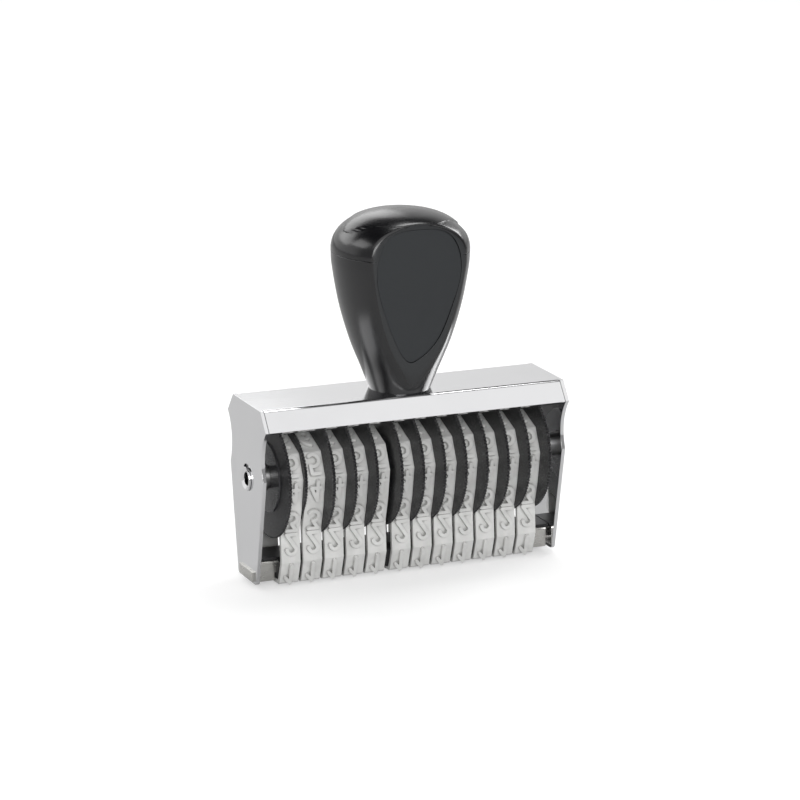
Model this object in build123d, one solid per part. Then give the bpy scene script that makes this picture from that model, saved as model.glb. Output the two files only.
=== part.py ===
from build123d import *
import math
import os

# Hand numbering machine: twelve endless rubber number bands run over twelve
# finger wheels on one axle and over a platen at the foot of a bent sheet-metal
# frame.  Millimetres, +Z up, +X along the row of wheels, -Y the front.
# The origin is below the middle of the machine, on the surface it stands on.

# ---------------------------------------------------------------- frame
FRAME_LENGTH = 81.0          # over the outside of the two cheeks
SHEET = 0.9                  # chromed sheet steel
CHEEK_FOOT_Z = 1.2           # underside of the cheeks above the table
FRAME_HEIGHT = 44.8          # cheek foot to the top face
TOP_DEPTH = 18.2             # flat top, front to back
SHOULDER_DROP = 4.75         # how far the sloped shoulders come down
SHOULDER_DEPTH = 25.4        # front to back at the shoulder edges
BUMP_HEIGHT = 27.4           # cheek foot to the pointed bump
BUMP_DEPTH = 22.0            # front to back over the bumps
NOTCH_HEIGHT = 31.6          # cheek foot to the deepest point of the notch
NOTCH_DEPTH = 19.9           # front to back at the bottom of the notches
FOOT_DEPTH = 12.0            # front to back at the foot of a cheek
FOOT_RADIUS = 1.0
BEND_RADIUS = 1.3            # outside of a bend
CORNER_GAP = 0.12            # slit between a shoulder and its cheek

# ---------------------------------------------------------------- axle
AXLE_DROP = 19.2             # top face down to the axle
AXLE_RADIUS = 2.3
AXLE_WALL = 0.6
AXLE_PROUD = 0.55            # how far each flared end stands out of its cheek
FLARE_RADIUS = 3.05
FLARE_MOUTH = 2.55           # radius of the cone inside each flared end
FLARE_LENGTH = 0.45
RUNNING_FIT = 0.05           # radial clearance of turning pieces on the axle
SLOT_RISE = 1.45             # the assembly slot above the axle in each cheek
SPACER_RADIUS = 3.0          # end spacers, and the boss of each wheel
SIDE_GAP = 0.06              # end play between neighbours on the axle
LEFT_SPACER_LENGTH = 4.28
RIGHT_SPACER_LENGTH = 4.7

# ---------------------------------------------------------------- wheels and bands
BAND_COUNT = 12
BAND_GAP = 0.76              # between neighbouring bands, where the flanges stand
ROW_PLAY = 0.8               # play of the whole row, all of it beside one wheel
PLAY_AFTER = 5               # the wheel that the play lies beside
BAND_THICKNESS = 1.0
RELIEF = 0.8                 # height of the characters above the band
FLANGE_THICKNESS = 0.66
FLANGE_RADIUS = 15.2         # over the tips of the teeth
TOOTH_DEPTH = 0.45
TOOTH_COUNT = 108
LOW_WHEEL = 2                # this wheel has a smaller flange than the others
LOW_FLANGE_RADIUS = 11.2
HUB_RADIUS = 7.9
HUB_WALL = 1.2
WEB_THICKNESS = 0.8
RIB_COUNT = 6
RIB_THICKNESS = 1.0
END_BOSS_RADIUS = 6.9        # the end flange seats with this boss on the last wheel's hub

# ---------------------------------------------------------------- band path (outer face, front half)
WRAP_RADIUS = 9.95           # bends of the band where it lies on its wheel
WRAP_FIRST = 6.4             # angle of the first bend above the horizontal, degrees
WRAP_SECOND = 45.4           # angle of the second bend
REAR_BEND = 188.5            # angle of the last bend, where the straight back run starts
WRAP_CELLS = 3               # equal cells between the second bend and the last
PLATEN_FOOT_HALF = 6.2       # half depth of the band at the printing face
PLATEN_TOP_HALF = 7.95       # half depth at the upper edge of the platen
PLATEN_TOP_Z = 6.6           # upper edge of the platen
WAIST_HALF = 7.25            # half depth where the band runs inward above the platen
WAIST_DROP = 12.4            # the waist below the axle
LOW_BEND_HALF = 8.75         # front bend between the waist and the wheel
LOW_BEND_DROP = 6.5          # this bend below the axle
FOOT_BEND_RADIUS = 0.9

# ---------------------------------------------------------------- characters
CHARACTER_HEIGHT = 5.8
CHARACTER_WIDTH = 3.3
STROKE = 0.9
CHARACTER_RISE = 0.8         # how far a character lies past the middle of its cell
CELL_MARGIN = 0.2            # left between a character and the end of its cell
SINK = 0.15                  # how far a character runs into the band

# ---------------------------------------------------------------- platen
PLATEN_GAP = 0.05            # between the band and the pad it runs over
PAD_TOP_Z = 7.3
PAD_TOP_HALF = 4.4           # half depth of the pad's level top
PAD_SLOPE = 1 / 3            # fall of the top beyond that
PAD_END_HALF = 4.2           # half depth of the pad's ends, which run on to the cheeks
PAD_END_GAP = 0.15           # from each of these ends to its cheek
CHANNEL_HALF = 4.2
CHANNEL_TOP_Z = 6.6
CHANNEL_FOOT_Z = 1.4
CHANNEL_WALL = 0.8
CHANNEL_STEP_Z = 3.4         # the channel walls are cut back to here under the bands
CHANNEL_END_GAP = 0.76       # from each end of the channel to its cheek
END_BLOCK_LENGTH = 3.89      # uncut end of the channel beside the bands
TAB_TOP_Z = 4.2
TAB_FOOT_Z = 1.8
TAB_FRONT = -4.7
TAB_REAR = 4.2
TAB_THICKNESS = 0.5
TAB_FIT = 0.05

# ---------------------------------------------------------------- handle
HANDLE_HEIGHT = 45.0
SEAM_HEIGHT = 34.8           # body below, cap above
TURNED_PROFILE = (           # radius and height of the turned form, foot to seam
    (7.6, 0.0),
    (9.6, 5.2),
    (12.6, 12.75),
    (15.2, 21.8),
    (16.8, 30.8),
    (17.1, SEAM_HEIGHT),
)
DOME_PROFILE = (             # radius and height of the turned form above the seam
    (16.4, 37.6),
    (14.2, 41.0),
    (10.2, 43.5),
)
FLAT_PROFILE = (             # half depth and height of the two label flats
    (8.1, 0.0),
    (9.65, 8.7),
    (10.95, 20.0),
    (11.8, SEAM_HEIGHT),
    (11.1, 42.0),
    (10.6, 46.0),
)
FOOT_SLOPE = 0.35            # radius gained per height where the turned form leaves its foot
HANDLE_WALL = 2.2
CORE_FLOOR = 13.0            # solid foot of the handle body
SPIGOT_LENGTH = 3.0          # the cap's spigot, down into the body
SPIGOT_ROOT = 1.6            # thickened root of the spigot, inside the cap
SPIGOT_BITE = 0.5            # how far the root runs into the cap's wall
SPIGOT_WALL = 1.4
SPIGOT_FIT = 0.1

PANEL_OUTLINE = (            # half width and height of the label panel, foot to top
    (5.2, 13.0),
    (9.0, 21.8),
    (11.1, 33.2),
    (8.4, 39.8),
)
PANEL_FOOT = 8.6
PANEL_TOP = 41.8
PANEL_THICKNESS = 1.0
PANEL_SINK = 0.2             # the panel's face lies this far below the flat round it
PANEL_FIT = 0.08             # slit round the panel

# ---------------------------------------------------------------- handle screw
SCREW_RADIUS = 2.0
SCREW_LENGTH = 11.0
SCREW_HEAD_RADIUS = 3.6
SCREW_HEAD_HEIGHT = 1.6
DRIVE_DEPTH = 0.9
DRIVE_WIDTH = 1.1
WASHER_RADIUS = 5.0
WASHER_THICKNESS = 0.6
HOLE_CLEARANCE = 0.2
INSERT_RADIUS = 3.2
INSERT_LENGTH = 8.0

# ---------------------------------------------------------------- places worked out from the sizes
OVERSHOOT = 1.0              # how far a cutting shape runs past what it cuts
TOP_Z = CHEEK_FOOT_Z + FRAME_HEIGHT
AXLE_Z = TOP_Z - AXLE_DROP
WAIST_Z = AXLE_Z - WAIST_DROP
LOW_BEND_Z = AXLE_Z - LOW_BEND_DROP
SHOULDER_Z = TOP_Z - SHOULDER_DROP
CHEEK_INSIDE = FRAME_LENGTH / 2 - SHEET
FLANGE_PLAY = (BAND_GAP - FLANGE_THICKNESS) / 2
ROW_LENGTH = 2 * (CHEEK_INSIDE - SIDE_GAP) - LEFT_SPACER_LENGTH - RIGHT_SPACER_LENGTH
BAND_PITCH = (ROW_LENGTH - ROW_PLAY - FLANGE_THICKNESS) / BAND_COUNT
BAND_WIDTH = BAND_PITCH - BAND_GAP
STACK_LEFT = -CHEEK_INSIDE + LEFT_SPACER_LENGTH + SIDE_GAP + FLANGE_THICKNESS + FLANGE_PLAY


def band_left(number):
    play = ROW_PLAY if number > PLAY_AFTER else 0
    return STACK_LEFT + (number - 1) * BAND_PITCH + play


def flange_left(number):
    return band_left(number) - FLANGE_PLAY - FLANGE_THICKNESS


def save(shape, node):
    shape.label = node
    export_step(shape, os.path.join("parts", node + ".step"))


def side_face(points):
    """A face in the Y-Z plane from (y, z) points."""
    return make_face(Polyline(*[(0, y, z) for y, z in points], close=True))


def along_x(face, start, length):
    return Pos(start, 0, 0) * extrude(face, amount=length, dir=(1, 0, 0))


def disc_x(radius, start, length, z=AXLE_Z):
    """A round disc or rod whose axis runs along +X."""
    return Pos(start, 0, z) * Rot(0, 90, 0) * Cylinder(
        radius, length, align=(Align.CENTER, Align.CENTER, Align.MIN))


def box_between(low, high):
    size = [b - a for a, b in zip(low, high)]
    corner = (Align.MIN, Align.MIN, Align.MIN)
    return Pos(*low) * Box(*size, align=corner)


# ================================================================ frame
def cheek_outline():
    """One cheek seen from the side: shoulder, notch, bump, taper and foot."""
    foot, bump = FOOT_DEPTH / 2, BUMP_DEPTH / 2
    notch, shoulder, top = NOTCH_DEPTH / 2, SHOULDER_DEPTH / 2, TOP_DEPTH / 2
    bump_z = CHEEK_FOOT_Z + BUMP_HEIGHT
    notch_z = CHEEK_FOOT_Z + NOTCH_HEIGHT
    right = [
        Line((0, foot, CHEEK_FOOT_Z), (0, bump, bump_z)),
        ThreePointArc((0, bump, bump_z), (0, notch, notch_z), (0, shoulder, SHOULDER_Z)),
        Line((0, shoulder, SHOULDER_Z), (0, top, TOP_Z)),
    ]
    left = [edge.mirror(Plane.XZ) for edge in right]
    foot_line = Line((0, -foot, CHEEK_FOOT_Z), (0, foot, CHEEK_FOOT_Z))
    top_line = Line((0, -top, TOP_Z), (0, top, TOP_Z))
    face = Face(Wire([foot_line] + right + [top_line] + left))
    return face


def make_cheek(side):
    start = CHEEK_INSIDE if side > 0 else -FRAME_LENGTH / 2
    cheek = along_x(cheek_outline(), start, SHEET)
    feet = cheek.edges().filter_by(Axis.X).group_by(Axis.Z)[0]
    cheek = fillet(feet, FOOT_RADIUS)
    slot_half = AXLE_RADIUS + RUNNING_FIT
    slot = disc_x(slot_half, start, SHEET)
    slot += disc_x(slot_half, start, SHEET, z=AXLE_Z + SLOT_RISE)
    slot += box_between((start, -slot_half, AXLE_Z), (start + SHEET, slot_half, AXLE_Z + SLOT_RISE))
    tab_hole = box_between(
        (start, TAB_FRONT - TAB_FIT, TAB_TOP_Z - TAB_THICKNESS - TAB_FIT),
        (start + SHEET, TAB_REAR + TAB_FIT, TAB_TOP_Z + TAB_FIT))
    return cheek - slot - tab_hole


def roof_face(start, length):
    """Top and shoulders as one bent strip."""
    half, edge = TOP_DEPTH / 2, SHOULDER_DEPTH / 2
    outer = FilletPolyline(
        (0, -edge, SHOULDER_Z), (0, -half, TOP_Z), (0, half, TOP_Z), (0, edge, SHOULDER_Z),
        radius=BEND_RADIUS)
    slope = math.atan2(TOP_Z - SHOULDER_Z, edge - half)
    inset = SHEET * math.tan(slope / 2)
    step_y, step_z = SHEET * math.sin(slope), SHEET * math.cos(slope)
    inner = FilletPolyline(
        (0, edge - step_y, SHOULDER_Z - step_z), (0, half - inset, TOP_Z - SHEET),
        (0, -half + inset, TOP_Z - SHEET), (0, -edge + step_y, SHOULDER_Z - step_z),
        radius=BEND_RADIUS - SHEET)
    ends = [Line(outer @ 1, inner @ 0), Line(inner @ 1, outer @ 0)]
    return along_x(Face(Wire(outer.edges() + inner.edges() + ends)), start, length)


def make_frame():
    """Roof, shoulders and cheeks; each cheek is bent down from the roof and slit from the shoulders."""
    inner_length = 2 * (CHEEK_INSIDE - CORNER_GAP)
    roof = roof_face(-inner_length / 2, inner_length)
    flat_half = TOP_DEPTH / 2 - BEND_RADIUS
    bridge = box_between(
        (-FRAME_LENGTH / 2, -flat_half, TOP_Z - SHEET), (FRAME_LENGTH / 2, flat_half, TOP_Z))
    frame = roof + bridge + make_cheek(-1) + make_cheek(1)
    envelope = box_between(
        (-FRAME_LENGTH / 2, -SHOULDER_DEPTH, 0), (FRAME_LENGTH / 2, SHOULDER_DEPTH, TOP_Z))
    bends = envelope.edges().filter_by(Axis.Y).group_by(Axis.Z)[-1]
    frame = frame & fillet(bends, BEND_RADIUS)
    hole = Pos(0, 0, TOP_Z - SHEET / 2) * Cylinder(SCREW_RADIUS + HOLE_CLEARANCE, 2 * SHEET)
    return frame - hole


# ================================================================ platen
def make_channel():
    """Folded steel channel between the cheeks, with a tab out through each."""
    length = 2 * (CHEEK_INSIDE - CHANNEL_END_GAP)
    outer = box_between(
        (-length / 2, -CHANNEL_HALF, CHANNEL_FOOT_Z), (length / 2, CHANNEL_HALF, CHANNEL_TOP_Z))
    crests = outer.edges().filter_by(Axis.X).group_by(Axis.Z)[-1]
    outer = fillet(crests, CHANNEL_WALL)
    hollow = box_between(
        (-length / 2 + CHANNEL_WALL, -CHANNEL_HALF + CHANNEL_WALL, CHANNEL_FOOT_Z - OVERSHOOT),
        (length / 2 - CHANNEL_WALL, CHANNEL_HALF - CHANNEL_WALL, CHANNEL_TOP_Z - CHANNEL_WALL))
    cut_half = length / 2 - END_BLOCK_LENGTH
    stack_end = band_left(BAND_COUNT) + BAND_WIDTH
    cut = box_between(
        (min(-cut_half, STACK_LEFT - FLANGE_PLAY), -CHANNEL_HALF - OVERSHOOT,
         CHANNEL_FOOT_Z - OVERSHOOT),
        (max(cut_half, stack_end + FLANGE_PLAY), CHANNEL_HALF + OVERSHOOT, CHANNEL_STEP_Z))
    channel = outer - hollow - cut
    for side in (-1, 1):
        through = sorted((side * length / 2, side * (FRAME_LENGTH / 2 + TAB_THICKNESS)))
        folded = sorted((side * FRAME_LENGTH / 2, side * (FRAME_LENGTH / 2 + TAB_THICKNESS)))
        channel += box_between(
            (through[0], TAB_FRONT, TAB_TOP_Z - TAB_THICKNESS), (through[1], TAB_REAR, TAB_TOP_Z))
        channel += box_between(
            (folded[0], TAB_FRONT, TAB_FOOT_Z), (folded[1], TAB_REAR, TAB_TOP_Z))
        web = sorted((side * length / 2, side * (length / 2 - CHANNEL_WALL)))
        channel += box_between(
            (web[0], -CHANNEL_HALF, TAB_TOP_Z - TAB_THICKNESS),
            (web[1], max(CHANNEL_HALF, TAB_REAR), TAB_TOP_Z))
    return channel


# ================================================================ bands
def band_corners():
    """Bends of the band's outer face, from the front foot up and over to the back foot."""
    front = [
        (-PLATEN_FOOT_HALF, RELIEF),
        (-PLATEN_TOP_HALF, PLATEN_TOP_Z),
        (-WAIST_HALF, WAIST_Z),
        (-LOW_BEND_HALF, LOW_BEND_Z),
    ]
    wrap_step = (REAR_BEND - WRAP_SECOND) / WRAP_CELLS
    angles = [WRAP_FIRST] + [WRAP_SECOND + i * wrap_step for i in range(WRAP_CELLS + 1)]
    wrap = [(-WRAP_RADIUS * math.cos(math.radians(a)),
             AXLE_Z + WRAP_RADIUS * math.sin(math.radians(a))) for a in angles]
    platen_back = [(PLATEN_TOP_HALF, PLATEN_TOP_Z), (PLATEN_FOOT_HALF, RELIEF)]
    rear_y, rear_z = wrap[-1]
    half_way = ((rear_y + PLATEN_TOP_HALF) / 2, (rear_z + PLATEN_TOP_Z) / 2)
    return front + wrap + [half_way] + platen_back


def inset_loop(points, distance):
    """The same closed outline moved inward by a distance."""
    count = len(points)
    result = []
    for i in range(count):
        (y0, z0), (y1, z1), (y2, z2) = points[i - 1], points[i], points[(i + 1) % count]
        a = Vector(y1 - y0, z1 - z0).normalized()
        b = Vector(y2 - y1, z2 - z1).normalized()
        normal_a, normal_b = Vector(a.Y, -a.X), Vector(b.Y, -b.X)
        middle = (normal_a + normal_b).normalized()
        reach = distance / middle.dot(normal_a)
        result.append((y1 + middle.X * reach, z1 + middle.Y * reach))
    return result


def rounded_stroke(points):
    """A pen stroke of even width with round ends, through points or arcs."""
    pen = Sketch()
    for point in (points[0], points[-1]):
        pen += Pos(*point) * Circle(STROKE / 2)
    if len(points) == 3:
        line = ThreePointArc(*points)
    else:
        line = Line(*points)
    return pen + trace(line, STROKE)


def character(name):
    """One character of the band, upright, centred on the origin."""
    w, h = (CHARACTER_WIDTH - STROKE) / 2, (CHARACTER_HEIGHT - STROKE) / 2
    strokes = {
        "0": [((-w, h - w), (0, h), (w, h - w)), ((-w, w - h), (0, -h), (w, w - h)),
              ((-w, w - h), (-w, h - w)), ((w, w - h), (w, h - w))],
        "1": [((0, -h), (0, h)), ((0, h), (-w, 0.4 * h))],
        "2": [((-w, 0.55 * h), (0.02 * w, h), (w, 0.5 * h)), ((w, 0.5 * h), (-w, -h)),
              ((-w, -h), (w, -h))],
        "3": [((-w, h), (w, h)), ((w, h), (-0.15 * w, 0.2 * h)),
              ((-0.15 * w, 0.2 * h), (w, -0.4 * h), (-w, -0.75 * h))],
        "4": [((0.35 * w, -h), (0.35 * w, h)), ((0.35 * w, h), (-w, -0.35 * h)),
              ((-w, -0.35 * h), (w, -0.35 * h))],
        "5": [((0.9 * w, h), (-0.8 * w, h)), ((-0.8 * w, h), (-0.9 * w, 0.15 * h)),
              ((-0.9 * w, 0.15 * h), (w, -0.35 * h), (-w, -0.8 * h))],
        "6": [((0.6 * w, h), (-0.7 * w, 0.35 * h), (-w, -0.4 * h)),
              ((-w, -0.45 * h), (0, -0.45 * h + w), (w, -0.45 * h)),
              ((-w, -0.45 * h), (0, -0.45 * h - w), (w, -0.45 * h))],
        "7": [((-w, h), (w, h)), ((w, h), (-0.3 * w, -h))],
        "8": [((-0.85 * w, 0.52 * h), (0, h), (0.85 * w, 0.52 * h)),
              ((-0.85 * w, 0.52 * h), (0, 0.06 * h), (0.85 * w, 0.52 * h)),
              ((-w, -0.45 * h), (0, 0.06 * h), (w, -0.45 * h)),
              ((-w, -0.45 * h), (0, -h), (w, -0.45 * h))],
        ".": [((0, -0.9 * h), (0, -0.85 * h))],
        "-": [((-0.8 * w, 0), (0.8 * w, 0))],
    }
    strokes["9"] = [[(-x, -y) for x, y in stroke] for stroke in strokes["6"]]
    face = Sketch()
    for stroke in strokes[name]:
        face += rounded_stroke(stroke)
    return face


def make_band():
    """Band number one; the others are copies of it one pitch apart."""
    corners = band_corners()
    outer = side_face(corners)
    feet = outer.vertices().group_by(Axis.Z)[0]
    outer = fillet(feet, FOOT_BEND_RADIUS)
    inner = side_face(inset_loop(corners, BAND_THICKNESS))
    band = along_x(outer, STACK_LEFT, BAND_WIDTH) - along_x(inner, STACK_LEFT, BAND_WIDTH)
    names = "123456789.-0"
    middle_x = STACK_LEFT + BAND_WIDTH / 2
    for i, name in enumerate(names):
        (y0, z0), (y1, z1) = corners[i], corners[(i + 1) % len(corners)]
        cell = Vector(0, y1 - y0, z1 - z0)
        run = cell.normalized()
        inward = Vector(1, 0, 0).cross(run * -1)
        spare = (cell.length - CHARACTER_HEIGHT) / 2 - CELL_MARGIN
        printing = i == len(corners) - 1
        rise = 0 if printing else min(CHARACTER_RISE, max(0, spare))
        middle = Vector(middle_x, (y0 + y1) / 2, (z0 + z1) / 2)
        place = middle + run * rise + inward * SINK
        plane = Plane(origin=place, x_dir=(1, 0, 0), z_dir=inward)
        band += extrude(plane * character(name), amount=-(RELIEF + SINK))
    return band


def make_pad():
    """Plastic bar that slides over the channel; the bands run round it."""
    loop = inset_loop(band_corners(), BAND_THICKNESS + PLATEN_GAP)
    stack_length = band_left(BAND_COUNT) + BAND_WIDTH - STACK_LEFT
    body = along_x(side_face(loop), STACK_LEFT, stack_length)
    edge_z = PAD_TOP_Z - PAD_SLOPE * (PLATEN_TOP_HALF - PAD_TOP_HALF)
    front = [(-PLATEN_TOP_HALF, 0), (-PLATEN_TOP_HALF, edge_z), (-PAD_TOP_HALF, PAD_TOP_Z)]
    back = [(-y, z) for y, z in reversed(front)]
    body = body & along_x(side_face(front + back), -FRAME_LENGTH, 2 * FRAME_LENGTH)
    end = CHEEK_INSIDE - PAD_END_GAP
    body += box_between((-end, -PAD_END_HALF, CHANNEL_TOP_Z), (end, PAD_END_HALF, PAD_TOP_Z))
    groove = box_between(
        (-FRAME_LENGTH, -CHANNEL_HALF, CHANNEL_STEP_Z), (FRAME_LENGTH, CHANNEL_HALF, CHANNEL_TOP_Z))
    return body - groove


# ================================================================ wheels
def toothed_disc(radius, start):
    count = round(TOOTH_COUNT * radius / FLANGE_RADIUS)
    points = []
    for i in range(2 * count):
        angle = math.pi * i / count
        reach = radius if i % 2 == 0 else radius - TOOTH_DEPTH
        points.append((reach * math.cos(angle), AXLE_Z + reach * math.sin(angle)))
    return along_x(side_face(points), start, FLANGE_THICKNESS)


def make_wheel(radius):
    """Wheel number one, with a flange of a given radius."""
    left = flange_left(1)
    hub_start = left + FLANGE_THICKNESS
    hub_length = BAND_PITCH - FLANGE_THICKNESS - SIDE_GAP
    wheel = toothed_disc(radius, left)
    wheel += disc_x(HUB_RADIUS, hub_start, hub_length)
    core = disc_x(HUB_RADIUS - HUB_WALL, hub_start + WEB_THICKNESS, hub_length)
    boss = disc_x(SPACER_RADIUS, hub_start, hub_length)
    ribs = Part()
    for i in range(RIB_COUNT):
        rib = box_between(
            (hub_start, 0, -RIB_THICKNESS / 2), (hub_start + hub_length, HUB_RADIUS, RIB_THICKNESS / 2))
        ribs += Pos(0, 0, AXLE_Z) * Rot(360 * i / RIB_COUNT, 0, 0) * rib
    wheel -= core - boss - ribs
    return wheel - disc_x(
        AXLE_RADIUS + RUNNING_FIT, left - OVERSHOOT, BAND_PITCH + 2 * OVERSHOOT)


def make_end_flange():
    left = flange_left(BAND_COUNT + 1)
    flange = toothed_disc(FLANGE_RADIUS, left)
    flange += disc_x(END_BOSS_RADIUS, left - SIDE_GAP, SIDE_GAP)
    return flange - disc_x(
        AXLE_RADIUS + RUNNING_FIT, left - OVERSHOOT, FLANGE_THICKNESS + 2 * OVERSHOOT)


def make_axle():
    half = FRAME_LENGTH / 2 + AXLE_PROUD
    axle = disc_x(AXLE_RADIUS, -half, 2 * half)
    for side in (-1, 1):
        start = half - FLARE_LENGTH if side > 0 else -half
        axle += disc_x(FLARE_RADIUS, start, FLARE_LENGTH)
    bore = AXLE_RADIUS - AXLE_WALL
    axle -= disc_x(bore, -half, 2 * half)
    for side in (-1, 1):
        mouth = Cone(bore, FLARE_MOUTH, FLARE_LENGTH, align=(Align.CENTER, Align.CENTER, Align.MAX))
        axle -= Pos(side * half, 0, AXLE_Z) * Rot(0, side * 90, 0) * mouth
    return axle


def make_spacer(start, length):
    ring = disc_x(SPACER_RADIUS, start, length)
    return ring - disc_x(AXLE_RADIUS + RUNNING_FIT, start - OVERSHOOT, length + 2 * OVERSHOOT)


# ================================================================ handle
def turned_radius(height):
    """Radius of the turned form at a height below the seam, read between its profile points."""
    for (r0, h0), (r1, h1) in zip(TURNED_PROFILE, TURNED_PROFILE[1:]):
        if h0 <= height < h1:
            return r0 + (r1 - r0) * (height - h0) / (h1 - h0)
    return TURNED_PROFILE[-1][0]


def turned_form(inset, floor):
    """The pear-shaped turned form, drawn in by an inset, from a floor height to its crown."""
    side = [(r - inset, h) for r, h in TURNED_PROFILE if h > floor]
    dome = [(r - inset, h - inset * h / HANDLE_HEIGHT) for r, h in DOME_PROFILE]
    points = [(turned_radius(floor) - inset, floor)] + side + dome + [(0, HANDLE_HEIGHT - inset)]
    leaving, arriving = (FOOT_SLOPE, 0, 1), (-1, 0, 0)
    curve = Spline(*[(r, 0, TOP_Z + h) for r, h in points], tangents=(leaving, arriving))
    crown, foot = Vector(0, 0, TOP_Z + HANDLE_HEIGHT - inset), Vector(0, 0, TOP_Z + floor)
    outline = Wire([curve, Line(crown, foot), Line(foot, curve @ 0)])
    return revolve(Face(outline), Axis.Z, 360)


def between_flats(inset):
    """Everything between the two label flats, each drawn in by an inset."""
    front = Spline(*[(0, -(y - inset), TOP_Z + h) for y, h in FLAT_PROFILE])
    back = front.mirror(Plane.XZ)
    ends = [Line(front @ 1, back @ 1), Line(back @ 0, front @ 0)]
    half = 2 * TURNED_PROFILE[-1][0]
    return along_x(Face(Wire([front, back] + ends)), -half, 2 * half)


def handle_form(inset, floor):
    return turned_form(inset, floor) & between_flats(inset)


def layer(low_z, high_z):
    reach = FRAME_LENGTH
    return box_between((-reach, -reach, low_z), (reach, reach, high_z))


def panel_prism(fit, side):
    """Prism with the label panel's outline, from the handle's middle out through one flat."""
    right = [(w - fit, TOP_Z + h) for w, h in PANEL_OUTLINE]
    left = [(-w, z) for w, z in reversed(right)]
    points = [(0, TOP_Z + PANEL_FOOT + fit)] + right + [(0, TOP_Z + PANEL_TOP - fit)] + left
    outline = make_face(Spline(*[(x, 0, z) for x, z in points], periodic=True))
    return extrude(outline, amount=2 * FLAT_PROFILE[-1][0], dir=(0, side, 0))


def make_handle():
    """Hollow body, hollow cap with its spigot, and the two label panels let into them."""
    seam_z = TOP_Z + SEAM_HEIGHT
    foot = (Align.CENTER, Align.CENTER, Align.MIN)
    shell = handle_form(0, 0) - handle_form(HANDLE_WALL, CORE_FLOOR)
    panel_back = between_flats(PANEL_SINK + PANEL_THICKNESS)
    panel_face = between_flats(PANEL_SINK)
    panels = []
    for side in (-1, 1):
        shell -= panel_prism(0, side) - panel_back
        panels.append((panel_prism(PANEL_FIT, side) & panel_face) - panel_back)
    below = layer(0, seam_z)
    body = shell & below
    body -= Pos(0, 0, TOP_Z) * Cylinder(INSERT_RADIUS, INSERT_LENGTH, align=foot)
    body -= Pos(0, 0, TOP_Z) * Cylinder(SCREW_RADIUS + HOLE_CLEARANCE, CORE_FLOOR, align=foot)
    cap = shell - below
    spigot_core = handle_form(HANDLE_WALL + SPIGOT_FIT + SPIGOT_WALL, CORE_FLOOR)
    root = handle_form(HANDLE_WALL - SPIGOT_BITE, CORE_FLOOR) & layer(seam_z, seam_z + SPIGOT_ROOT)
    neck = handle_form(HANDLE_WALL + SPIGOT_FIT, CORE_FLOOR) & layer(seam_z - SPIGOT_LENGTH, seam_z)
    cap += (root + neck) - spigot_core
    return body, cap, panels


def make_screw():
    seat_z = TOP_Z - SHEET - WASHER_THICKNESS
    top = (Align.CENTER, Align.CENTER, Align.MAX)
    foot = (Align.CENTER, Align.CENTER, Align.MIN)
    head = Pos(0, 0, seat_z) * Cylinder(SCREW_HEAD_RADIUS, SCREW_HEAD_HEIGHT, align=top)
    rim = head.edges().filter_by(GeomType.CIRCLE).group_by(Axis.Z)[0]
    head = fillet(rim, SCREW_HEAD_HEIGHT / 2)
    screw = head + Pos(0, 0, seat_z) * Cylinder(SCREW_RADIUS, SCREW_LENGTH, align=foot)
    drive_z = seat_z - SCREW_HEAD_HEIGHT
    for angle in (0, 90):
        bar = Box(SCREW_HEAD_RADIUS, DRIVE_WIDTH, DRIVE_DEPTH, align=foot)
        screw -= Pos(0, 0, drive_z) * Rot(0, 0, angle) * bar
    return screw


def make_washer():
    seat = Pos(0, 0, TOP_Z - SHEET)
    top = (Align.CENTER, Align.CENTER, Align.MAX)
    ring = Cylinder(WASHER_RADIUS, WASHER_THICKNESS, align=top)
    return seat * (ring - Cylinder(SCREW_RADIUS + HOLE_CLEARANCE, 3 * WASHER_THICKNESS))


def make_insert():
    """Brass bush moulded into the foot of the handle; the screw's thread runs in it."""
    foot = (Align.CENTER, Align.CENTER, Align.MIN)
    bush = Cylinder(INSERT_RADIUS, INSERT_LENGTH, align=foot)
    return Pos(0, 0, TOP_Z) * (bush - Cylinder(SCREW_RADIUS, INSERT_LENGTH, align=foot))


# ================================================================ assembly
os.makedirs("parts", exist_ok=True)
save(make_frame(), "frame")
save(make_channel(), "platen_channel")
save(make_pad(), "platen_pad")
save(make_axle(), "wheel_axle")
save(make_spacer(-CHEEK_INSIDE, LEFT_SPACER_LENGTH), "spacer_left")
save(make_spacer(CHEEK_INSIDE - RIGHT_SPACER_LENGTH, RIGHT_SPACER_LENGTH), "spacer_right")
band = make_band()
wheel, low_wheel = make_wheel(FLANGE_RADIUS), make_wheel(LOW_FLANGE_RADIUS)
for number in range(1, BAND_COUNT + 1):
    place = Pos(band_left(number) - STACK_LEFT, 0, 0)
    save(place * (low_wheel if number == LOW_WHEEL else wheel), f"wheel_{number:02d}")
    save(place * band, f"band_{number:02d}")
save(make_end_flange(), "end_flange")
handle_body, handle_cap, label_panels = make_handle()
save(handle_body, "handle_body")
save(handle_cap, "handle_cap")
save(label_panels[0], "label_panel_front")
save(label_panels[1], "label_panel_back")
save(make_screw(), "handle_screw")
save(make_washer(), "screw_washer")
save(make_insert(), "thread_insert")
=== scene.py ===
import math

import bmesh
import bpy
from mathutils import Matrix, Vector


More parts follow.
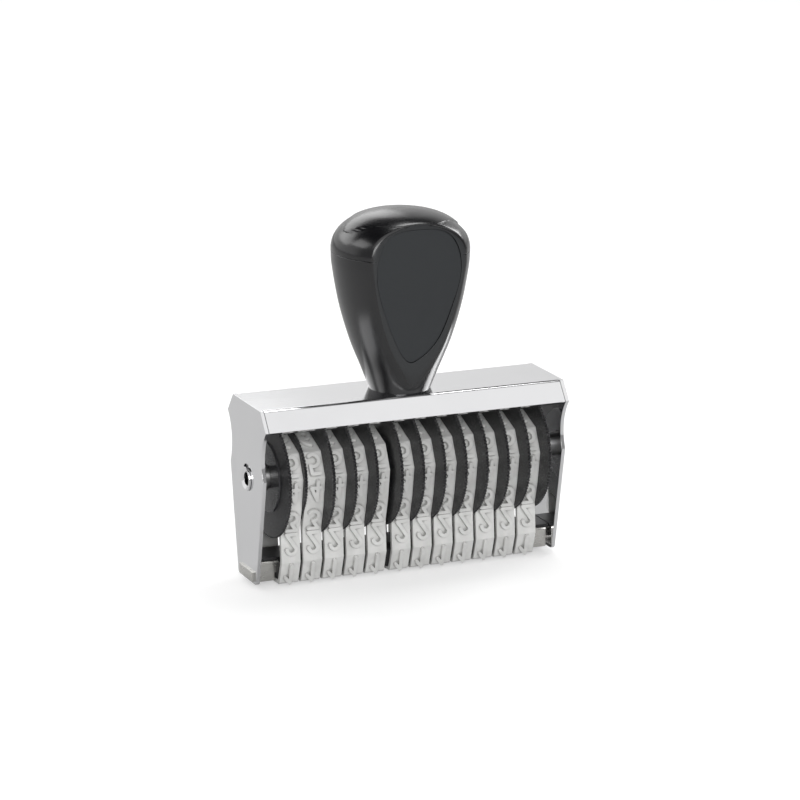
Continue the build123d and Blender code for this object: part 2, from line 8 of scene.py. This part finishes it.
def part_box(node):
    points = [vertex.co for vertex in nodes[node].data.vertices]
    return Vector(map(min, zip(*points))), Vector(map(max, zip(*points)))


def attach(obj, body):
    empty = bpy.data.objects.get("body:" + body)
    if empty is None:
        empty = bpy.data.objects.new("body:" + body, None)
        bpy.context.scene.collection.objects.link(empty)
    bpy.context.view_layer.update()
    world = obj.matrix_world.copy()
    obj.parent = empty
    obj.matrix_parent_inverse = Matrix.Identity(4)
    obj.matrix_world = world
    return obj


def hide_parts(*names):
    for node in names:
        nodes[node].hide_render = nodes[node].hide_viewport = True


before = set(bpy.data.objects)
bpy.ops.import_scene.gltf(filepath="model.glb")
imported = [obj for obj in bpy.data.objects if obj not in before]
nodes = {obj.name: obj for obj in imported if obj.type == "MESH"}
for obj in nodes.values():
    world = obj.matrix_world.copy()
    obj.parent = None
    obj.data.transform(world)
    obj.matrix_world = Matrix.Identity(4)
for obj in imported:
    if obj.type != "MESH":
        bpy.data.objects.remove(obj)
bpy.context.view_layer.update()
MM = 0.001


# ================================================================ chromed frame
# One strip of sheet steel bent into a roof, two sloped shoulders and two end
# cheeks. It is polished and chromed, and the roof and shoulders keep the fine
# lines of the polishing belt that ran along them.
class Value:
    """A shader socket that can be used in sums, so that a mask is written as a formula."""

    def __init__(self, finish, socket):
        self.finish, self.socket = finish, socket

    def _math(self, operation, first, second=None):
        values = {0: first} if second is None else {0: first, 1: second}
        return self.finish.node("Math", {"operation": operation}, values)

    def __add__(self, other):
        return self._math("ADD", self, other)

    def __sub__(self, other):
        return self._math("SUBTRACT", self, other)

    def __rsub__(self, other):
        return self._math("SUBTRACT", other, self)

    def __mul__(self, other):
        return self._math("MULTIPLY", self, other)

    def __abs__(self):
        return self._math("ABSOLUTE", self)

    __radd__ = __add__
    __rmul__ = __mul__


class Finish:
    """A material, or the world, being built: nodes are added by type, and the surface comes last."""

    def __init__(self, name, owner=None):
        self.owner = owner or bpy.data.materials.new(name)
        self.owner.use_nodes = True
        self.tree = self.owner.node_tree
        self.tree.nodes.clear()

    def node(self, kind, settings=None, values=None, output=0):
        node = self.tree.nodes.new("ShaderNode" + kind)
        for name, setting in (settings or {}).items():
            if name == "stops":
                self._set_stops(node.color_ramp, setting)
            else:
                setattr(node, name, setting)
        for name, value in (values or {}).items():
            if isinstance(value, Value):
                self.tree.links.new(value.socket, node.inputs[name])
            else:
                node.inputs[name].default_value = value
        return Value(self, node.outputs[output]) if node.outputs else node

    @staticmethod
    def _set_stops(ramp, stops):
        while len(ramp.elements) < len(stops):
            ramp.elements.new(0.5)
        for element, (place, level) in zip(ramp.elements, stops):
            element.position, element.color = place, (level, level, level, 1)

    def place(self):
        return self.node("TexCoord", output="Object")

    def stretched(self, scale):
        return self.node("Mapping", values={"Vector": self.place(), "Scale": scale})

    def noise(self, vector, scale, detail=3.0, roughness=0.5):
        return self.node("TexNoise", values={
            "Vector": vector, "Scale": scale, "Detail": detail, "Roughness": roughness})

    def ramp(self, value, *stops):
        return self.node("ValToRGB", {"stops": stops}, {"Fac": value})

    def mixed(self, factor, first, second):
        return self.node("Mix", {"data_type": "RGBA"}, {0: factor, 6: first, 7: second}, output=2)

    def part(self, vector, axis):
        return self.node("SeparateXYZ", values={"Vector": vector}, output=axis)

    def soft_edges(self, radius):
        return self.node("Bevel", {"samples": 6}, {"Radius": radius})

    def bump(self, height, strength, distance, normal):
        return self.node("Bump", values={
            "Height": height, "Strength": strength, "Distance": distance, "Normal": normal})

    def surface(self, **values):
        named = {name.replace("_", " "): value for name, value in values.items()}
        shader = self.node("BsdfPrincipled", values=named)
        self.node("OutputMaterial", values={"Surface": shader})
        return self.owner


def dress(finish, *names):
    """Puts a finish on CAD nodes in place of their plain one."""
    for name in names:
        slots = nodes[name].data.materials
        slots.clear()
        slots.append(finish)


CHROME_TINT = (0.80, 0.80, 0.81, 1)
CHROME_WORN = (0.70, 0.70, 0.71, 1)
BELT_LINES = (30, 2600, 2600)     # changes in a metre: long along the frame, fine across it
BELT_DEPTH = 0.01 * MM
SMUDGES = 60.0                    # changes in a metre
CHROME_EDGE = 0.12 * MM


def chrome(name, roughness, belt_strength):
    """Bright chrome plate, with belt lines on the faces that don't look along the frame."""
    finish = Finish(name)
    belt_lines = finish.noise(finish.stretched(BELT_LINES), 1.0, detail=4.0)
    smudges = finish.ramp(finish.noise(finish.place(), SMUDGES), (0.42, 0.0), (0.78, 1.0))
    facing = finish.node("NewGeometry", output="Normal")
    sideways = abs(finish.part(facing, "X"))
    on_roof = finish.ramp(sideways, (0.25, 1.0), (0.75, 0.0))
    edges = finish.soft_edges(CHROME_EDGE)
    return finish.surface(
        Base_Color=finish.mixed(smudges * 0.25, CHROME_TINT, CHROME_WORN),
        Metallic=1.0,
        Roughness=smudges * 0.05 + belt_lines * on_roof * 0.10 + roughness,
        Normal=finish.bump(belt_lines * on_roof, belt_strength, BELT_DEPTH, edges))


dress(chrome("polished_chrome", roughness=0.04, belt_strength=0.35), "frame")


# ================================================================ platen
# A folded steel channel lies between the cheeks, with a tab out through each.
# A black plastic bar slides over it, and the bands run round the bar.
ROLLED_GRAIN = (500, 1400, 1400)  # changes in a metre
ROLLED_DEPTH = 0.012 * MM
METAL_CLOUDS = 180.0
METAL_EDGE = 0.1 * MM
DULLED = 0.8                      # the share of its colour that a dull cloud keeps


def satin_metal(name, tint, roughness):
    """Plated, rolled or turned metal with a fine grain and dull clouds."""
    finish = Finish(name)
    grain = finish.noise(finish.stretched(ROLLED_GRAIN), 1.0, detail=5.0)
    cloud = finish.noise(finish.place(), METAL_CLOUDS)
    dull = tuple(channel * DULLED for channel in tint[:3]) + (1,)
    return finish.surface(
        Base_Color=finish.mixed(cloud, tint, dull),
        Metallic=1.0,
        Roughness=grain * 0.18 + roughness,
        Normal=finish.bump(grain, 0.25, ROLLED_DEPTH, finish.soft_edges(METAL_EDGE)))


dress(satin_metal("rolled_steel", (0.72, 0.71, 0.68, 1), roughness=0.20), "platen_channel")

PLASTIC_CLOUDS = 130.0            # changes in a metre
PLASTIC_DEPTH = 0.02 * MM
PALER = 1.7                       # how much paler the clouds are
DUST_TINT = (0.16, 0.16, 0.165, 1)


def black_plastic(name, tint, roughness, grain_size, edge, dust=0.0):
    """Moulded black plastic; dust is the share of pale specks that lie in its grain."""
    finish = Finish(name)
    grain = finish.noise(finish.place(), 1 / grain_size, detail=3.0)
    cloud = finish.noise(finish.place(), PLASTIC_CLOUDS)
    paler = tuple(channel * PALER for channel in tint[:3]) + (1,)
    specks = finish.ramp(grain, (0.50, 0.0), (0.66, 1.0)) * dust
    return finish.surface(
        Base_Color=finish.mixed(specks, finish.mixed(cloud * 0.5, tint, paler), DUST_TINT),
        Roughness=grain * 0.12 + cloud * 0.06 + roughness,
        Normal=finish.bump(grain, 0.12, PLASTIC_DEPTH, finish.soft_edges(edge)))


dress(black_plastic(
    "bar_plastic", (0.016, 0.016, 0.017, 1), roughness=0.38, grain_size=0.35 * MM, edge=0.1 * MM),
    "platen_pad")


# ================================================================ axle and spacers
# A thin chromed tube carries the wheels. Its ends are flared over the cheeks,
# and a turned, zinc-plated ring at each end keeps the row of wheels in place.
dress(chrome("axle_chrome", roughness=0.07, belt_strength=0.0), "wheel_axle")
dress(satin_metal("zinc_rings", (0.60, 0.60, 0.60, 1), roughness=0.28), "spacer_left", "spacer_right")


# ================================================================ finger wheels
# Moulded black wheels with a finely toothed flange that the finger turns. The
# outer face of the first and the last flange is plain to see, and a low round
# plate stands on it.
BAND_COUNT = 12
WHEEL_GRAIN = 0.4 * MM
WHEEL_EDGE = 0.08 * MM
wheel_names = [f"wheel_{number:02d}" for number in range(1, BAND_COUNT + 1)]
wheel_plastic = black_plastic(
    "wheel_plastic", (0.012, 0.012, 0.013, 1), roughness=0.30, grain_size=WHEEL_GRAIN, edge=WHEEL_EDGE,
    dust=0.45)
face_plastic = black_plastic(
    "face_plastic", (0.034, 0.034, 0.037, 1), roughness=0.16, grain_size=WHEEL_GRAIN, edge=WHEEL_EDGE)
dress(wheel_plastic, *wheel_names, "end_flange")

FACE_PLATE_RADIUS = 9.0 * MM
FACE_PLATE_HEIGHT = 0.3 * MM
FACE_PLATE_EDGE = 0.25 * MM       # the slope round its rim
FACE_PLATE_RIM = 0.02 * MM        # what the slope leaves above the flange
FACE_PLATE_SINK = 0.05 * MM       # how far it goes into the flange
FACE_PLATE_BORE = 3.3 * MM
PLATE_CREASE = math.radians(35)   # a sharper bend than this stays an edge
ROUND_SIDES = 160


def finished_piece(name, mesh, finish, body):
    """Makes an object of a finished mesh and puts it on its body."""
    mesh.materials.clear()
    mesh.materials.append(finish)
    piece = bpy.data.objects.new(name, mesh)
    bpy.context.scene.collection.objects.link(piece)
    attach(piece, body)
    return piece


def ring_of_profile(name, profile, centre_z):
    """Turns a closed (x, radius) profile about the axle's line."""
    mesh = bpy.data.meshes.new(name)
    work = bmesh.new()
    rings = []
    for i in range(ROUND_SIDES):
        turn = 2 * math.pi * i / ROUND_SIDES
        rings.append([
            work.verts.new((x, r * math.cos(turn), centre_z + r * math.sin(turn))) for x, r in profile])
    for i, ring in enumerate(rings):
        after = rings[(i + 1) % ROUND_SIDES]
        for j in range(len(profile)):
            k = (j + 1) % len(profile)
            work.faces.new((ring[j], ring[k], after[k], after[j]))
    bmesh.ops.recalc_face_normals(work, faces=work.faces)
    work.to_mesh(mesh)
    work.free()
    mesh.shade_smooth()
    mesh.set_sharp_from_angle(angle=PLATE_CREASE)
    return mesh


wheel_low, wheel_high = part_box("wheel_01")
axle_z = (wheel_low.z + wheel_high.z) / 2


def face_plate(name, face_x, outward, body):
    """The low round plate on an outer face, which looks along X as outward says."""
    seat = face_x - outward * FACE_PLATE_SINK
    top = face_x + outward * FACE_PLATE_HEIGHT
    profile = [
        (seat, FACE_PLATE_BORE),
        (top, FACE_PLATE_BORE),
        (top, FACE_PLATE_RADIUS - FACE_PLATE_EDGE),
        (face_x + outward * FACE_PLATE_RIM, FACE_PLATE_RADIUS),
        (seat, FACE_PLATE_RADIUS),
    ]
    mesh = ring_of_profile(name, profile, axle_z)
    return finished_piece(name, mesh, face_plastic, body)


face_plate("first_wheel_face", wheel_low.x, -1, "wheel_01_body")
face_plate("last_wheel_face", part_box("end_flange")[1].x, 1, "wheel_12_body")


# ================================================================ number bands
# Endless moulded rubber bands, pale grey, with a raised character on each flat.
# Handling has greyed them in clouds, and shade is painted into the corners
# round the characters, darker where walls stand close.
BAND_CLEAN = (0.86, 0.86, 0.845, 1)
BAND_HANDLED = (0.70, 0.70, 0.685, 1)
# painted shade: the dark colour given to the corners and recesses round the characters
BAND_PAINTED_SHADE = (0.42, 0.42, 0.41, 1)
PAINTED_SHADE_REACH = 0.9 * MM             # how far from a wall the painted shade reaches
HANDLED_CLOUDS = 260.0            # changes in a metre
RUBBER_GRAIN = 5200.0             # changes in a metre
RUBBER_DEPTH = 0.02 * MM
RUBBER_EDGE = 0.14 * MM


def band_rubber():
    finish = Finish("band_rubber")
    cloud = finish.noise(finish.place(), HANDLED_CLOUDS, detail=4.0)
    grain = finish.noise(finish.place(), RUBBER_GRAIN, detail=2.0)
    # painted shade: ambient occlusion darkens the colour in corners and recesses round the characters
    open_to_light = finish.node(
        "AmbientOcclusion", {"samples": 8}, {"Distance": PAINTED_SHADE_REACH}, output="AO")
    aged = finish.mixed(finish.ramp(cloud, (0.38, 0.0), (0.72, 0.8)), BAND_CLEAN, BAND_HANDLED)
    painted_shade_in_corner = finish.ramp(open_to_light, (0.40, 1.0), (0.80, 0.0))
    return finish.surface(
        Base_Color=finish.mixed(painted_shade_in_corner, aged, BAND_PAINTED_SHADE),
        Roughness=cloud * 0.15 + 0.42,
        Specular_IOR_Level=0.4,
        Normal=finish.bump(grain, 0.15, RUBBER_DEPTH, finish.soft_edges(RUBBER_EDGE)))


band_names = [f"band_{number:02d}" for number in range(1, BAND_COUNT + 1)]
dress(band_rubber(), *band_names)


# ================================================================ handle screw
# A zinc-plated screw and washer under the roof hold the handle by a brass bush
# moulded into its foot.
dress(satin_metal("zinc_screw", (0.62, 0.62, 0.61, 1), roughness=0.24), "handle_screw", "screw_washer")
dress(satin_metal("turned_brass", (0.75, 0.56, 0.26, 1), roughness=0.25), "thread_insert")


# ================================================================ palm handle
# A glossy black moulding in two parts that meet at its widest level. It is a
# turned pear form with a flat front and back, and a crown that meets the
# shoulder in a soft crease. A satin panel is let into each flat.
SIDE_PROFILE = (     # radius and height above the foot, in millimetres
    (7.6, 0.0), (9.6, 5.2), (12.6, 12.75), (15.2, 21.8), (16.8, 30.8), (17.1, 34.8))
DOME_PROFILE = (     # the same, above the seam
    (17.1, 34.8), (17.0, 36.3), (16.4, 38.2), (15.2, 40.0), (13.7, 41.5), (11.7, 42.8), (8.9, 43.9),
    (5.5, 44.6), (2.5, 44.93), (0.0, 44.98))
DOME_TIP = 0.05      # radius at which the dome is closed flat
FLAT_DEPTH = (       # how far a flat is from the middle, and height above the foot
    (8.1, 0.0), (9.65, 8.7), (10.95, 20.0), (11.8, 34.8), (11.1, 42.0), (10.6, 46.0))
FLAT_EDGE = 0.8      # rounding between a flat and the turned form
CREASE_TOP = 42.6    # height of the crease at the flats
CREASE_DIP = 2.4     # how much lower it runs at the two sides
CREASE_BEND = 14     # the higher, the closer to the sides the dip stays
CREASE_DEPTH = 0.35
CREASE_LIP = 0.15    # the height over which the crown's lip turns in
CREASE_FADE = 1.6    # the height over which the shoulder below it swells out again
SEAM_ROUNDING = 0.16
SEAM_STEPS = 4
COLUMNS = 18         # in each of the two parts of a quarter
ROWS_PER_SPAN = 10
FLAT_STEPS = 24      # of a flat's depth, in each of its spans
WIDEST_SINE = 0.999  # keeps some width for the columns on the flat's side of a corner
LEAST_RADIUS = 0.02
TINY = 1e-6          # keeps a divisor off zero


def smooth_path(points, steps):
    """A curve through the points, by Catmull-Rom spans of an even number of steps."""
    first = tuple(2 * a - b for a, b in zip(points[0], points[1]))
    last = tuple(2 * a - b for a, b in zip(points[-1], points[-2]))
    padded = (first, *points, last)
    path = []
    for i in range(len(points) - 1):
        p0, p1, p2, p3 = padded[i:i + 4]
        for step in range(steps):
            t = step / steps
            path.append(tuple(
                0.5 * (2 * b + (c - a) * t + (2 * a - 5 * b + 4 * c - d) * t ** 2
                       + (3 * b - a - 3 * c + d) * t ** 3)
                for a, b, c, d in zip(p0, p1, p2, p3)))
    return path + [points[-1]]


flat_path = smooth_path(FLAT_DEPTH, FLAT_STEPS)


def flat_depth(height):
    """How far a flat is from the middle plane at a height above the foot."""
    for (y0, h0), (y1, h1) in zip(flat_path, flat_path[1:]):
        if h0 <= height <= h1:
            return y0 + (y1 - y0) * (height - h0) / (h1 - h0)
    return flat_path[-1][0]


def soft_least(a, b, width):
    """The lesser of two numbers, with a rounded change from one to the other."""
    overlap = max(width - abs(a - b), 0.0) / width
    return min(a, b) - overlap ** 2 * width / 4


def crease_dent(turn, height):
    """How far the shoulder is drawn in below the lip of the crown, which runs lower at the sides."""
    below = CREASE_TOP - CREASE_DIP * math.cos(turn) ** CREASE_BEND - height
    if below < 0:
        return CREASE_DEPTH * max(0.0, 1 + below / CREASE_LIP)
    return CREASE_DEPTH * math.exp(-(below / CREASE_FADE) ** 2)


def handle_outline(radius, height):
    """One level of the handle: (x, y) round the turned form and across both flats.

    The columns crowd towards the corner, where the turned form meets a flat.
    """
    depth = flat_depth(height)
    corner = math.asin(min(depth / max(radius, TINY), WIDEST_SINE))
    turns = [corner * (1 - (1 - i / COLUMNS) ** 2) for i in range(COLUMNS)]
    turns += [corner + (math.pi / 2 - corner) * (i / COLUMNS) ** 2 for i in range(COLUMNS + 1)]
    quarter = []
    for turn in turns:
        flat = depth / max(math.sin(turn), TINY)
        dented = max(radius - crease_dent(turn, height), LEAST_RADIUS)
        reach = soft_least(dented, flat, FLAT_EDGE)
        quarter.append((reach * math.cos(turn), reach * math.sin(turn)))
    half = quarter + [(-x, y) for x, y in reversed(quarter[:-1])]
    return half + [(x, -y) for x, y in reversed(half[1:-1])]


handle_foot_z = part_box("handle_body")[0].z
MERGE_DISTANCE = 0.002 * MM


def handle_shell(name, levels):
    """A closed skin through the handle's levels, closed flat at each end."""
    mesh = bpy.data.meshes.new(name)
    work = bmesh.new()
    rings = []
    for radius, height in levels:
        z = handle_foot_z + height * MM
        rings.append([work.verts.new((x * MM, y * MM, z)) for x, y in handle_outline(radius, height)])
    count = len(rings[0])
    for lower, upper in zip(rings, rings[1:]):
        for i in range(count):
            j = (i + 1) % count
            work.faces.new((lower[i], lower[j], upper[j], upper[i]))
    work.faces.new(rings[0])
    work.faces.new(rings[-1])
    bmesh.ops.remove_doubles(work, verts=work.verts, dist=MERGE_DISTANCE)
    bmesh.ops.recalc_face_normals(work, faces=work.faces)
    work.to_mesh(mesh)
    work.free()
    return mesh


def seam_end(radius, height, rise):
    """The rounded lip of a half at the seam, as seen from inside the half."""
    lip = []
    for i in range(1, SEAM_STEPS + 1):
        turn = math.pi / 2 * i / SEAM_STEPS
        lip.append((radius - SEAM_ROUNDING * (1 - math.cos(turn)),
                    height - rise * SEAM_ROUNDING * (1 - math.sin(turn))))
    return lip


side = [level for level in smooth_path(SIDE_PROFILE, ROWS_PER_SPAN)
        if level[1] < SIDE_PROFILE[-1][1] - SEAM_ROUNDING]
grip_levels = side + seam_end(*SIDE_PROFILE[-1], 1)
dome = [level for level in smooth_path(DOME_PROFILE, ROWS_PER_SPAN)
        if level[1] > DOME_PROFILE[0][1] + SEAM_ROUNDING]
crown_levels = seam_end(*DOME_PROFILE[0], -1)[::-1] + dome[:-1] + [(DOME_TIP, dome[-1][1])]

PANEL_SLIT = 0.09 * MM            # between a panel and the edge of its recess
RECESS_SPARE = 0.1 * MM           # how much deeper than the panel its recess is
CUTTER_REACH = 2 * MM             # how far the cutter stands out past the panel
SHELL_CREASE = math.radians(32)   # a sharper bend than this stays an edge


def panel_cutter(panel):
    """A prism round a label panel, a slit wider than it, for its recess in the shell."""
    low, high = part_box(panel)
    centre = (low + high) / 2
    grow_x = 1 + 2 * PANEL_SLIT / (high.x - low.x)
    grow_z = 1 + 2 * PANEL_SLIT / (high.z - low.z)
    if centre.y < 0:
        ends = (low.y - CUTTER_REACH, high.y + RECESS_SPARE)
    else:
        ends = (low.y - RECESS_SPARE, high.y + CUTTER_REACH)
    work = bmesh.new()
    for vertex in nodes[panel].data.vertices:
        x = centre.x + (vertex.co.x - centre.x) * grow_x
        z = centre.z + (vertex.co.z - centre.z) * grow_z
        for y in ends:
            work.verts.new((x, y, z))
    hull = bmesh.ops.convex_hull(work, input=work.verts)
    inside = [item for item in hull["geom_interior"] if isinstance(item, bmesh.types.BMVert)]
    bmesh.ops.delete(work, geom=inside, context="VERTS")
    bmesh.ops.recalc_face_normals(work, faces=work.faces)
    mesh = bpy.data.meshes.new(panel + "_cutter")
    work.to_mesh(mesh)
    work.free()
    cutter = bpy.data.objects.new(mesh.name, mesh)
    bpy.context.scene.collection.objects.link(cutter)
    return cutter


def with_recesses(mesh, cutters):
    """The mesh with both panel recesses cut, as a plain mesh."""
    holder = bpy.data.objects.new("holder", mesh)
    bpy.context.scene.collection.objects.link(holder)
    for cutter in cutters:
        cut = holder.modifiers.new("recess", "BOOLEAN")
        cut.operation, cut.solver, cut.object = "DIFFERENCE", "EXACT", cutter
    graph = bpy.context.evaluated_depsgraph_get()
    result = bpy.data.meshes.new_from_object(holder.evaluated_get(graph))
    bpy.data.objects.remove(holder)
    result.shade_smooth()
    result.set_sharp_from_angle(angle=SHELL_CREASE)
    return result


GLOSS_DARK = (0.003, 0.003, 0.004, 1)
GLOSS_PALE = (0.005, 0.005, 0.006, 1)
FLAT_TINT = (0.016, 0.018, 0.020, 1)
FINGER_PRINTS = 45.0              # changes in a metre
HAIRLINES = (900, 900, 120)       # changes in a metre: long up the handle
HAIRLINE_DEPTH = 0.01 * MM
HANDLE_EDGE = 0.15 * MM


def handle_gloss():
    """Glossy on the turned form and satin on the two flats, which look along Y."""
    finish = Finish("handle_gloss")
    cloud = finish.noise(finish.place(), FINGER_PRINTS)
    hairlines = finish.noise(finish.stretched(HAIRLINES), 1.0, detail=4.0)
    prints = finish.ramp(cloud, (0.45, 0.0), (0.75, 1.0))
    facing = finish.node("NewGeometry", output="Normal")
    on_flat = finish.ramp(abs(finish.part(facing, "Y")), (0.95, 0.0), (0.98, 1.0))
    gloss_tint = finish.mixed(cloud, GLOSS_DARK, GLOSS_PALE)
    return finish.surface(
        Base_Color=finish.mixed(on_flat, gloss_tint, FLAT_TINT),
        Roughness=prints * 0.06 + hairlines * 0.03 + on_flat * 0.16 + 0.20,
        Specular_IOR_Level=0.75,
        Normal=finish.bump(hairlines, 0.04, HAIRLINE_DEPTH, finish.soft_edges(HANDLE_EDGE)))


PANEL_DARK = (0.022, 0.025, 0.028, 1)
PANEL_PALE = (0.028, 0.031, 0.034, 1)
PANEL_CLOUDS = 60.0               # changes in a metre
PANEL_GRAIN = 3800.0              # changes in a metre
PANEL_DEPTH = 0.015 * MM


def panel_satin():
    finish = Finish("panel_satin")
    grain = finish.noise(finish.place(), PANEL_GRAIN, detail=2.0)
    cloud = finish.noise(finish.place(), PANEL_CLOUDS)
    return finish.surface(
        Base_Color=finish.mixed(cloud, PANEL_DARK, PANEL_PALE),
        Roughness=grain * 0.10 + 0.42,
        Normal=finish.bump(grain, 0.10, PANEL_DEPTH, finish.soft_edges(HANDLE_EDGE)))


gloss = handle_gloss()
cutters = [panel_cutter(panel) for panel in ("label_panel_front", "label_panel_back")]
grip_mesh = with_recesses(handle_shell("grip", grip_levels), cutters)
grip = finished_piece("handle_grip", grip_mesh, gloss, "root")
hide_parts("handle_body")
crown_mesh = with_recesses(handle_shell("crown", crown_levels), cutters)
crown = finished_piece("handle_crown", crown_mesh, gloss, "root")
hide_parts("handle_cap")
for cutter in cutters:
    bpy.data.objects.remove(cutter)
dress(panel_satin(), "label_panel_front", "label_panel_back")


# ================================================================ studio
# A white floor and background, soft boxes behind, on both sides, in front and
# overhead, and a camera a little above the machine, to the left of its front.
WHITE = (1, 1, 1, 1)
PAPER_TINT = (0.60, 0.60, 0.60, 1)
FLOOR_REACH = 4.0
FLOOR_GLOW = 0.49                 # what the camera sees on top of the lit paper
ROOM_LIGHT = 0.42                 # what the room adds to matt surfaces
ROOM_DIM = 0.30                   # the unlit parts of the room, as metal shows them


def ray(finish, kind):
    return finish.node("LightPath", output=f"Is {kind} Ray")


floor_corners = [(x * FLOOR_REACH, y * FLOOR_REACH, 0) for x, y in ((-1, -1), (1, -1), (1, 1), (-1, 1))]
floor_mesh = bpy.data.meshes.new("floor")
floor_mesh.from_pydata(floor_corners, [], [(0, 1, 2, 3)])
floor = bpy.data.objects.new("floor", floor_mesh)
bpy.context.scene.collection.objects.link(floor)
paper = Finish("white_paper")
floor_mesh.materials.append(paper.surface(
    Base_Color=PAPER_TINT, Roughness=0.9, Specular_IOR_Level=0.0, Emission_Color=WHITE,
    Emission_Strength=(ray(paper, "Camera") + ray(paper, "Transmission")) * FLOOR_GLOW))

# Metal shows a white wall behind, greyer towards the right, a white ceiling in
# front, and elsewhere a dim room that is dark overhead. The ramps run over the
# parts of a direction.
bpy.context.scene.world = bpy.data.worlds.new("studio")
sky = Finish("studio", bpy.context.scene.world)
heading = sky.node("TexCoord", output="Generated")
rightward = sky.part(heading, "X")
rearward = sky.part(heading, "Y")
upward = sky.part(heading, "Z")
backdrop = sky.ramp(rearward, (0.0, 0.0), (0.3, 1.0)) * sky.ramp(upward, (0.40, 1.0), (0.60, 0.0))
ceiling = sky.ramp(0.0 - rearward, (0.10, 0.0), (0.30, 1.0)) * sky.ramp(upward, (0.45, 0.0), (0.65, 1.0))
fading = sky.ramp(rightward, (0.33, 0.86), (0.45, 0.68))
overhead = sky.ramp(upward, (0.50, 0.0), (0.70, 1.0))
in_metal = backdrop * fading * (1 - ROOM_DIM) + ceiling + (1 - overhead) * ROOM_DIM
direct = ray(sky, "Camera") + ray(sky, "Transmission")
glossy = ray(sky, "Glossy")
strength = direct + glossy * in_metal + (1 - direct - glossy) * ROOM_LIGHT
sky.node("OutputWorld", values={
    "Surface": sky.node("Background", values={"Color": WHITE, "Strength": strength})})

LAMPS_AIM_AT = Vector((0, 0, 0.045))


def soft_box(name, place, width, height, radiance):
    """A rectangular lamp that faces the machine, as bright as its radiance."""
    lamp = bpy.data.lights.new(name, "AREA")
    lamp.shape, lamp.size, lamp.size_y = "RECTANGLE", width, height
    lamp.energy = radiance * math.pi * width * height
    box = bpy.data.objects.new(name, lamp)
    box.location = place
    box.rotation_mode = "QUATERNION"
    box.rotation_quaternion = (LAMPS_AIM_AT - Vector(place)).to_track_quat("-Z", "Y")
    bpy.context.scene.collection.objects.link(box)


soft_box("behind", (-0.25, 0.95, 0.62), width=1.5, height=0.42, radiance=1.65)
soft_box("left", (-0.75, 0.22, 0.66), width=0.50, height=0.35, radiance=2.3)
soft_box("key", (-0.30, -0.95, 0.42), width=0.60, height=0.50, radiance=4.8)
soft_box("right", (0.88, 0.28, 0.58), width=0.50, height=0.40, radiance=5.6)
soft_box("overhead", (0.20, 0.16, 0.80), width=0.34, height=0.28, radiance=5.0)

CAMERA_AZIMUTH, CAMERA_ELEVATION, CAMERA_ROLL = map(math.radians, (-23.654, 14.915, 0.346))
CAMERA_DISTANCE = 857.6 * MM
CAMERA_TARGET = Vector((0.16, 0.0, 42.54)) * MM
CAMERA_LENS = 156.08
back = Vector((
    math.sin(CAMERA_AZIMUTH) * math.cos(CAMERA_ELEVATION),
    -math.cos(CAMERA_AZIMUTH) * math.cos(CAMERA_ELEVATION),
    math.sin(CAMERA_ELEVATION)))
camera = bpy.data.objects.new("camera", bpy.data.cameras.new("camera"))
camera.data.lens = CAMERA_LENS
camera.matrix_world = (
    Matrix.Translation(CAMERA_TARGET + back * CAMERA_DISTANCE)
    @ (-back).to_track_quat("-Z", "Y").to_matrix().to_4x4()
    @ Matrix.Rotation(CAMERA_ROLL, 4, "Z"))
bpy.context.scene.collection.objects.link(camera)
bpy.context.scene.camera = camera
bpy.context.scene.view_settings.view_transform = "Standard"
